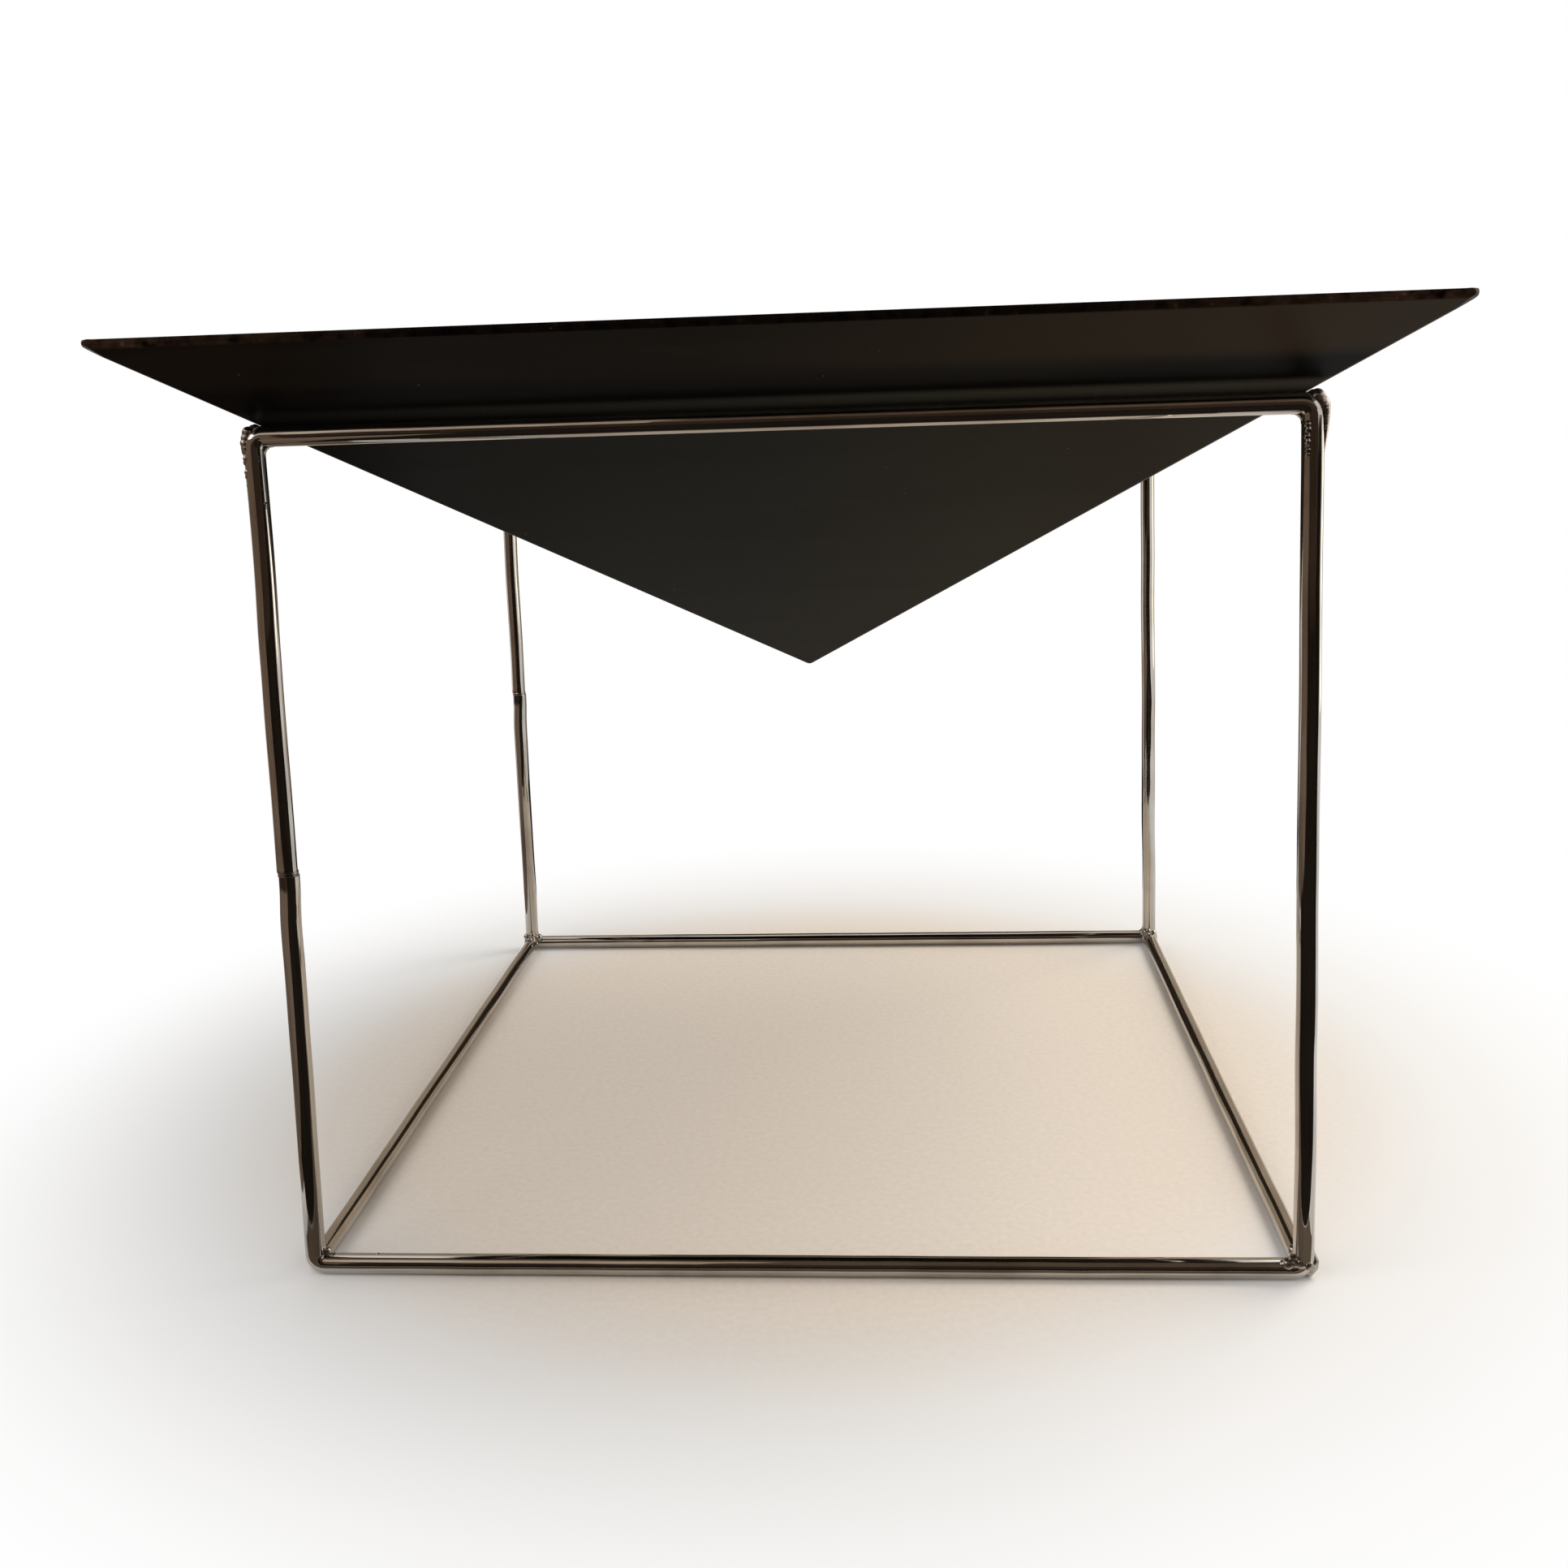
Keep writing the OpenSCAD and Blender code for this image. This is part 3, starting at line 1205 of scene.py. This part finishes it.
    def inner_web(self) -> list[Drop]:
        """Fills the inside of the bend, as drops that all touch one hollow arc.

        Returns:
            The drops.
        """
        centre = self.sizes.rod_radius / MM + self.hollow + self.hollow_back
        thin, thick = self.web_radius
        drops: list[Drop] = []
        for step in range(7):
            turn = step * self.arc_step
            angle = math.pi + turn
            radius = thin + (thick - thin) * math.sin(2 * turn)
            out = self.hollow + radius
            across, up = centre + out * math.cos(angle), centre + out * math.sin(angle)
            drops.append(Drop(across, 0.2, up, radius))
        return drops

    def collar(self, chance: random.Random) -> list[Drop]:
        """Lays the ring of drops round the rail's end.

        Args:
            chance: Source of the small differences between drops.

        Returns:
            The drops.
        """
        r = self.sizes.rod_radius / MM
        drops: list[Drop] = []
        for index in range(self.ring_drops):
            turn = chance.uniform(-self.ring_turn, self.ring_turn)
            angle = 2 * math.pi * index / self.ring_drops + turn
            out = r - chance.uniform(*self.ring_inset)
            deep = r - self.ring_back + chance.uniform(*self.ring_deep)
            across, up = out * math.cos(angle), out * math.sin(angle)
            drops.append(Drop(across, deep, up, chance.uniform(*self.ring_radius)))
        return drops


@dataclass
class Cage:
    """The rod cage: two loops, four side rails and the welds that join them."""

    sizes: TableSizes
    bar: ChromePlate = ChromePlate()
    loop_bar: ChromePlate = ChromePlate(
        name="nickel-chrome plate on a butt-welded loop", dull_seam=True
    )
    weld: ChromedWeld = ChromedWeld()

    def build(self) -> None:
        """Builds and dresses every piece of the cage."""
        s = self.sizes
        bar, loop_bar, weld = self.bar.make(s), self.loop_bar.make(s), self.weld.make()
        for face in Face:
            node = f"{face.name.lower()}_loop"
            dress(RodLoop(s, face).build(), loop_bar, "frame", node)
            seam = SeamWeld(s, face).build()
            dress(seam, weld, "frame", f"{node}_seam_weld")
        for level, hand in product(Level, Hand):
            node = f"{level.name}_{hand.name}_rail".lower()
            dress(SideRail(s, hand, level).build(), bar, "frame", node)
        for face, level, hand in product(Face, Level, Hand):
            node = f"{face.name}_{level.name}_{hand.name}_weld".lower()
            fillet = CornerWeld(s, face, level, hand).build()
            dress(fillet, weld, "frame", node)


def dress(piece: Object, material: Material, body: str, node: str) -> None:
    """Gives a piece its finish and its body, hides the CAD node that it stands for, and
    reports it.

    Args:
        piece: The piece.
        material: Its finish.
        body: The CAD body that it rides on.
        node: The CAD node that it stands for.
    """
    piece.data.materials.clear()
    piece.data.materials.append(material)
    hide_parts(node)
    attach(piece, body)
    LOG.info("%s: %d faces, %s", piece.name, len(piece.data.polygons), material.name)


# ---- The tray ----


@dataclass
class Tray:
    """The loose tray: four mitred sheets, welded inside their hips."""

    sizes: TableSizes
    lacquer: BlackLacquer = BlackLacquer()
    bead_radius: float = 2.2 * MM
    bead_around: int = 20
    ripple: float = 2.6 * MM
    # Share of a ripple's length and how much wider the bead is after it
    ripple_shape: tuple[Pair, ...] = ((0.25, 0.965), (0.5, 1), (0.25, 1 / 0.965))
    grain: float = 3.1 * MM
    roughness: float = 0.35 * MM
    # How far the beads stay back from the rim's faces
    bead_back: float = 0.2 * MM
    bead_below: float = 0.1 * MM
    bead_spare: float = 2 * MM
    hip_round: float = 1.1 * MM
    rim_round: float = 0.45 * MM
    tip_round: float = 1.5 * MM
    tip_back: float = 1.1 * MM
    # How far the shell is made past the rim, before it is cut to it
    spare: float = 12 * MM
    sheet_sharp_degrees: float = 32
    bead_sharp_degrees: float = 60
    sides: tuple[str, ...] = ("front", "right", "back", "left")
    hips: tuple[str, ...] = ("front_right", "back_right", "back_left", "front_left")

    def build(self) -> None:
        """Builds and dresses the four sheets and the four beads."""
        coat = self.lacquer.make(self.sizes)
        shell = self.shell()
        for quarter, side in enumerate(self.sides):
            sheet = self.sheet(shell, quarter, f"{side}_sheet")
            dress(sheet, coat, "tray", f"tray_{side}_panel")
        bpy.data.objects.remove(shell)
        pattern = self.hip_bead()
        for quarter, hip in enumerate(self.hips):
            copy_piece(pattern, f"{hip}_hip_bead")
            if quarter:
                bpy.ops.transform.rotate(
                    value=-quarter * QUARTER_TURN, orient_axis="Z", center_override=(0, 0, 0)
                )
            piece = settle(f"{hip}_hip_bead")
            dress(piece, coat, "tray", f"tray_{hip}_hip_weld")
        bpy.data.objects.remove(pattern)

    def shell(self) -> Object:
        """Shapes the whole tray as one shell, with its edges rounded.

        Returns:
            The shell, which the four sheets are cut from.
        """
        s = self.sizes
        add_pyramid(s, s.rim_half + self.spare, 0, "NOTHING")
        piece = settle("tray_shell")
        apply_modifier(piece, "SOLIDIFY", thickness=s.sheet, offset=-1, use_even_offset=True)
        for outward in (-RIGHT, RIGHT, -BACK, BACK):
            cut_away(piece, outward * s.rim_half, outward)
        set_mode("EDIT")
        join_and_face_out()
        select_edges(piece, lambda first, last: self.on_hip(first) and self.on_hip(last))
        bpy.ops.mesh.bevel(offset=self.hip_round, segments=6, affect="EDGES")
        select_edges(piece, self.on_rim)
        bpy.ops.mesh.bevel(offset=self.rim_round, segments=3, affect="EDGES")
        self.round_tips(piece)
        return piece

    def on_hip(self, point: Vector) -> bool:
        """Tells whether a point is on the outside of a hip."""
        level = self.sizes.point_height + abs(point.x) * math.tan(self.sizes.slope)
        return max(abs(abs(point.x) - abs(point.y)), abs(point.z - level)) < ON_EDGE

    def on_rim(self, first: Vector, last: Vector) -> bool:
        """Tells whether an edge runs along the rim's plumb faces or down a corner of it.

        Args:
            first: One end of the edge.
            last: The other end.

        Returns:
            True if both ends are on the same two opposite faces.
        """
        half = self.sizes.rim_half
        off = [max(abs(abs(end[axis]) - half) for end in (first, last)) for axis in (0, 1)]
        return min(off) < ON_EDGE

    def round_tips(self, piece: Object, inset: float = 0.0) -> None:
        """Grinds the rim's sharp corners round, as narrow flats that touch one ball.

        Args:
            piece: The shell, or a bead that runs out at a corner.
            inset: How much deeper to grind.
        """
        s = self.sizes
        middle = UP * (s.rim_height + s.rim_band / 2)
        back = s.rim_half * math.sqrt(2) - self.tip_round - self.tip_back
        for quarter, lean in product(range(4), (-60, -30, 0, 30, 60)):
            turn = Matrix.Rotation(quarter * QUARTER_TURN, 3, "Z")
            flat, up = turn @ (RIGHT + BACK).normalized(), math.radians(lean)
            outward = flat * math.cos(up) + UP * math.sin(up)
            point = middle + flat * back + outward * (self.tip_round - inset)
            cut_away(piece, point, outward)

    def sheet(self, shell: Object, quarter: int, name: str) -> Object:
        """Cuts one sheet out of the shell along its two mitres.

        Args:
            shell: The whole tray.
            quarter: Number of quarter turns from the front.
            name: Name of the sheet.

        Returns:
            The sheet.
        """
        piece = copy_piece(shell, name)
        turn = Matrix.Rotation(quarter * QUARTER_TURN, 3, "Z")
        for sign in (-1, 1):
            cut_away(piece, (0, 0, 0), turn @ Vector((sign, 1, 0)).normalized())
        smooth_by_angle(piece, self.sheet_sharp_degrees)
        # The large flat faces keep their own normals, and the rounded edges take the turn
        apply_modifier(piece, "WEIGHTED_NORMAL", keep_sharp=True)
        return piece

    def hip_bead(self) -> Object:
        """Lays the bead inside the front right hip, drop after drop.

        Returns:
            The bead.
        """
        s = self.sizes
        rise = math.atan(math.tan(s.slope) / math.sqrt(2))
        level = math.cos(rise) / math.sqrt(2)
        along = Vector((level, -level, math.sin(rise)))
        start = (0, 0, s.point_height + s.rim_band)
        length = s.rim_half * math.sqrt(2) / math.cos(rise) + self.bead_spare
        turn = UP.rotation_difference(along).to_euler()
        start_ring(start, self.bead_radius, self.bead_around, turn)
        drops = round(length / self.ripple)
        for share, scale in self.ripple_shape * drops:
            extrude(along * (length / drops * share), scale)
        close_open_ends()
        piece = settle("hip_bead")
        roughen(piece, self.grain, self.roughness)
        edge, top = s.rim_half - self.bead_back, s.rim_height + s.rim_band - self.bead_below
        for outward, reach in ((RIGHT, edge), (-BACK, edge), (UP, top)):
            cut_away(piece, outward * reach, outward)
        self.round_tips(piece, self.bead_back)
        smooth_by_angle(piece, self.bead_sharp_degrees)
        return piece


# ---- The studio ----


@dataclass(frozen=True)
class Softbox:
    """A rectangular soft lamp."""

    name: str
    place: Triple
    aim: Triple
    size: Pair
    watts: float
    colour: str

    def hang(self) -> None:
        """Puts the lamp in the scene."""
        light = bpy.data.lights.new(self.name, "AREA")
        light.shape = "RECTANGLE"
        light.size, light.size_y = self.size
        light.energy = self.watts
        light.color = linear(self.colour)[:3]
        lamp = bpy.data.objects.new(self.name, light)
        lamp.location = self.place
        aim = Vector(self.aim) - Vector(self.place)
        lamp.rotation_euler = aim.to_track_quat("-Z", "Y").to_euler()
        bpy.context.scene.collection.objects.link(lamp)


@dataclass(frozen=True)
class Card:
    """A flat card that bright metal mirrors, as on a still-life set.

    It is only there to be mirrored: it isn't seen itself and takes no light away.
    """

    name: str
    middle: Triple
    size: Pair
    # Tilt out of the level, then turn about the upright, in degrees
    tilt: float
    turn: float
    cloth: str
    nap: float = 120 * MM
    # How much light the nap's darkest parts give back, against the cloth's colour
    dimmest: float = 0.6

    def stand(self) -> None:
        """Puts the card in its place, in cloth with a soft uneven nap."""
        pick(None)
        angles = (math.radians(self.tilt), 0, math.radians(self.turn))
        bpy.ops.mesh.primitive_plane_add(size=1, location=self.middle, rotation=angles)
        bpy.context.active_object.scale = (*self.size, 1)
        card = settle(self.name)
        material, node = new_material(f"{self.name} cloth")
        place = node("TexCoord", {}).outputs["Object"]
        nap = node("TexNoise", {"Scale": 1 / self.nap, "Detail": 2}, place)
        bright, dim = linear(self.cloth), linear(self.cloth, self.dimmest)
        dye = node("Mix", {**COLOURS, "Factor": nap, "A": bright, "B": dim})
        node("OutputMaterial", {}, node("BsdfDiffuse", {}, dye))
        card.data.materials.append(material)
        card.visible_camera = False
        card.visible_diffuse = False
        card.visible_shadow = False
        card.visible_transmission = False


@dataclass
class Studio:
    """A pale floor, soft light, the cards that the chrome mirrors, and the camera."""

    floor: PaleFloor = PaleFloor()
    floor_size: float = 24
    cards: tuple[Card, ...] = (
        Card("front_strip", (0, -0.222, 0.0015), (0.46, 0.036), 0, 0, "#776B5F"),
        Card("front_mat", (0.225, -0.545, 0.002), (1.05, 0.61), 0, 0, "#2A2520"),
        Card("front_low_card", (0.16, -0.85, 0.085), (1.18, 0.17), 90, 0, "#2A2520"),
        Card("front_middle_card", (0.16, -0.85, 0.345), (1.18, 0.35), 90, 0, "#453B33"),
        Card("left_high_card", (-0.64, -0.86, 1.06), (0.46, 1.1), 90, 0, "#F7F0E8"),
        Card("front_high_card", (-0.275, -0.86, 1.06), (0.27, 1.1), 90, 0, "#DACEC2"),
        Card("right_high_card", (0.395, -0.86, 1.06), (1.07, 1.1), 90, 0, "#6E6158"),
        Card("ceiling_card", (0, -0.5, 1.61), (1.8, 0.74), 0, 0, "#7E7164"),
        Card("right_card", (0.585, -0.535, 0.17), (0.71, 0.34), 90, 117.6, "#2A2520"),
        Card("left_mat", (-0.56, -0.275, 0.0015), (0.58, 1.15), 0, 0, "#8C7B6E"),
        Card("left_card", (-0.85, -0.275, 0.3), (1.15, 0.6), 90, 90, "#8C7B6E"),
        Card("left_front_card", (-0.64, -0.85, 0.3), (0.42, 0.6), 90, 0, "#8C7B6E"),
        Card("back_wall", (0, 1.3, 1.1), (3.0, 2.2), 90, 0, "#C2B6A5"),
        Card("back_floor", (0, 0.87, 0.0012), (1.8, 0.86), 0, 0, "#BFB2A1"),
        Card("back_card", (0, 1.0, 0.4), (0.5, 0.8), 90, 0, "#3A332C"),
        Card("back_mat", (0, 0.65, 0.002), (0.5, 0.7), 0, 0, "#3A332C"),
    )
    softboxes: tuple[Softbox, ...] = (
        Softbox("key", (1.3, 0.5, 1.9), (0, 0, 0.1), (1.2, 1.2), 26, "#FFFAF3"),
        Softbox("fill", (-1.5, -1.1, 1.6), (0, 0, 0.15), (1.4, 1.4), 12, "#F8F8FF"),
        Softbox("strip", (1.15, 0.2, 0.45), (0, 0, 0.2), (0.4, 0.9), 2.6, "#FFEBD0"),
    )
    sky: str = "#FFFDFA"
    sky_light: float = 0.72
    eye: Triple = (46.81 * MM, -795.45 * MM, 343.11 * MM)
    # Turn to the right, dip and tilt of the camera, in radians
    yaw: float = -0.0740
    pitch: float = 0.1347
    roll: float = -0.0332
    sensor: float = 36
    lens: float = 37.13
    shift: Pair = (0.0, -0.1032)
    nearest: float = 0.05

    def build(self) -> None:
        """Sets the stage, the light and the camera."""
        self.lay_floor()
        for card in self.cards:
            card.stand()
        for softbox in self.softboxes:
            softbox.hang()
        LOG.info("%d cards and %d lamps", len(self.cards), len(self.softboxes))
        self.light_sky()
        self.set_camera()
        bpy.context.scene.view_settings.view_transform = "Standard"

    def lay_floor(self) -> None:
        """Lays the floor under the table."""
        pick(None)
        bpy.ops.mesh.primitive_plane_add(size=self.floor_size, location=(0, 0, 0))
        floor = settle("floor")
        floor.data.materials.append(self.floor.make())

    def light_sky(self) -> None:
        """Makes the world: white to look at, and a soft even light."""
        world = bpy.data.worlds.new("studio")
        bpy.context.scene.world = world
        world.use_nodes = True
        world.node_tree.nodes.clear()
        node = partial(add_node, world.node_tree)
        soft = node("Background", {"Color": linear(self.sky), "Strength": self.sky_light})
        white = node("Background", {"Color": (1, 1, 1, 1), "Strength": 1.0})
        both = node("MixShader", {}, seen_directly(node), soft, white)
        node("OutputWorld", {}, both)

    def set_camera(self) -> None:
        """Places the camera and its lens."""
        camera = bpy.data.cameras.new("camera")
        camera.sensor_width = self.sensor
        camera.lens = self.lens
        camera.shift_x, camera.shift_y = self.shift
        camera.clip_start = self.nearest
        turn = Euler((QUARTER_TURN - self.pitch, 0, -self.yaw)).to_matrix()
        turn @= Matrix.Rotation(self.roll, 3, "Z")
        holder = bpy.data.objects.new("camera", camera)
        holder.matrix_world = Matrix.Translation(self.eye) @ turn.to_4x4()
        bpy.context.scene.collection.objects.link(holder)
        bpy.context.scene.camera = holder


def main() -> None:
    """Builds the table and its studio."""
    logging.basicConfig(level=logging.INFO, format="%(name)s %(message)s")
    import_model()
    sizes = TableSizes()
    Cage(sizes).build()
    Tray(sizes).build()
    Studio().build()


if __name__ == "__main__":
    main()
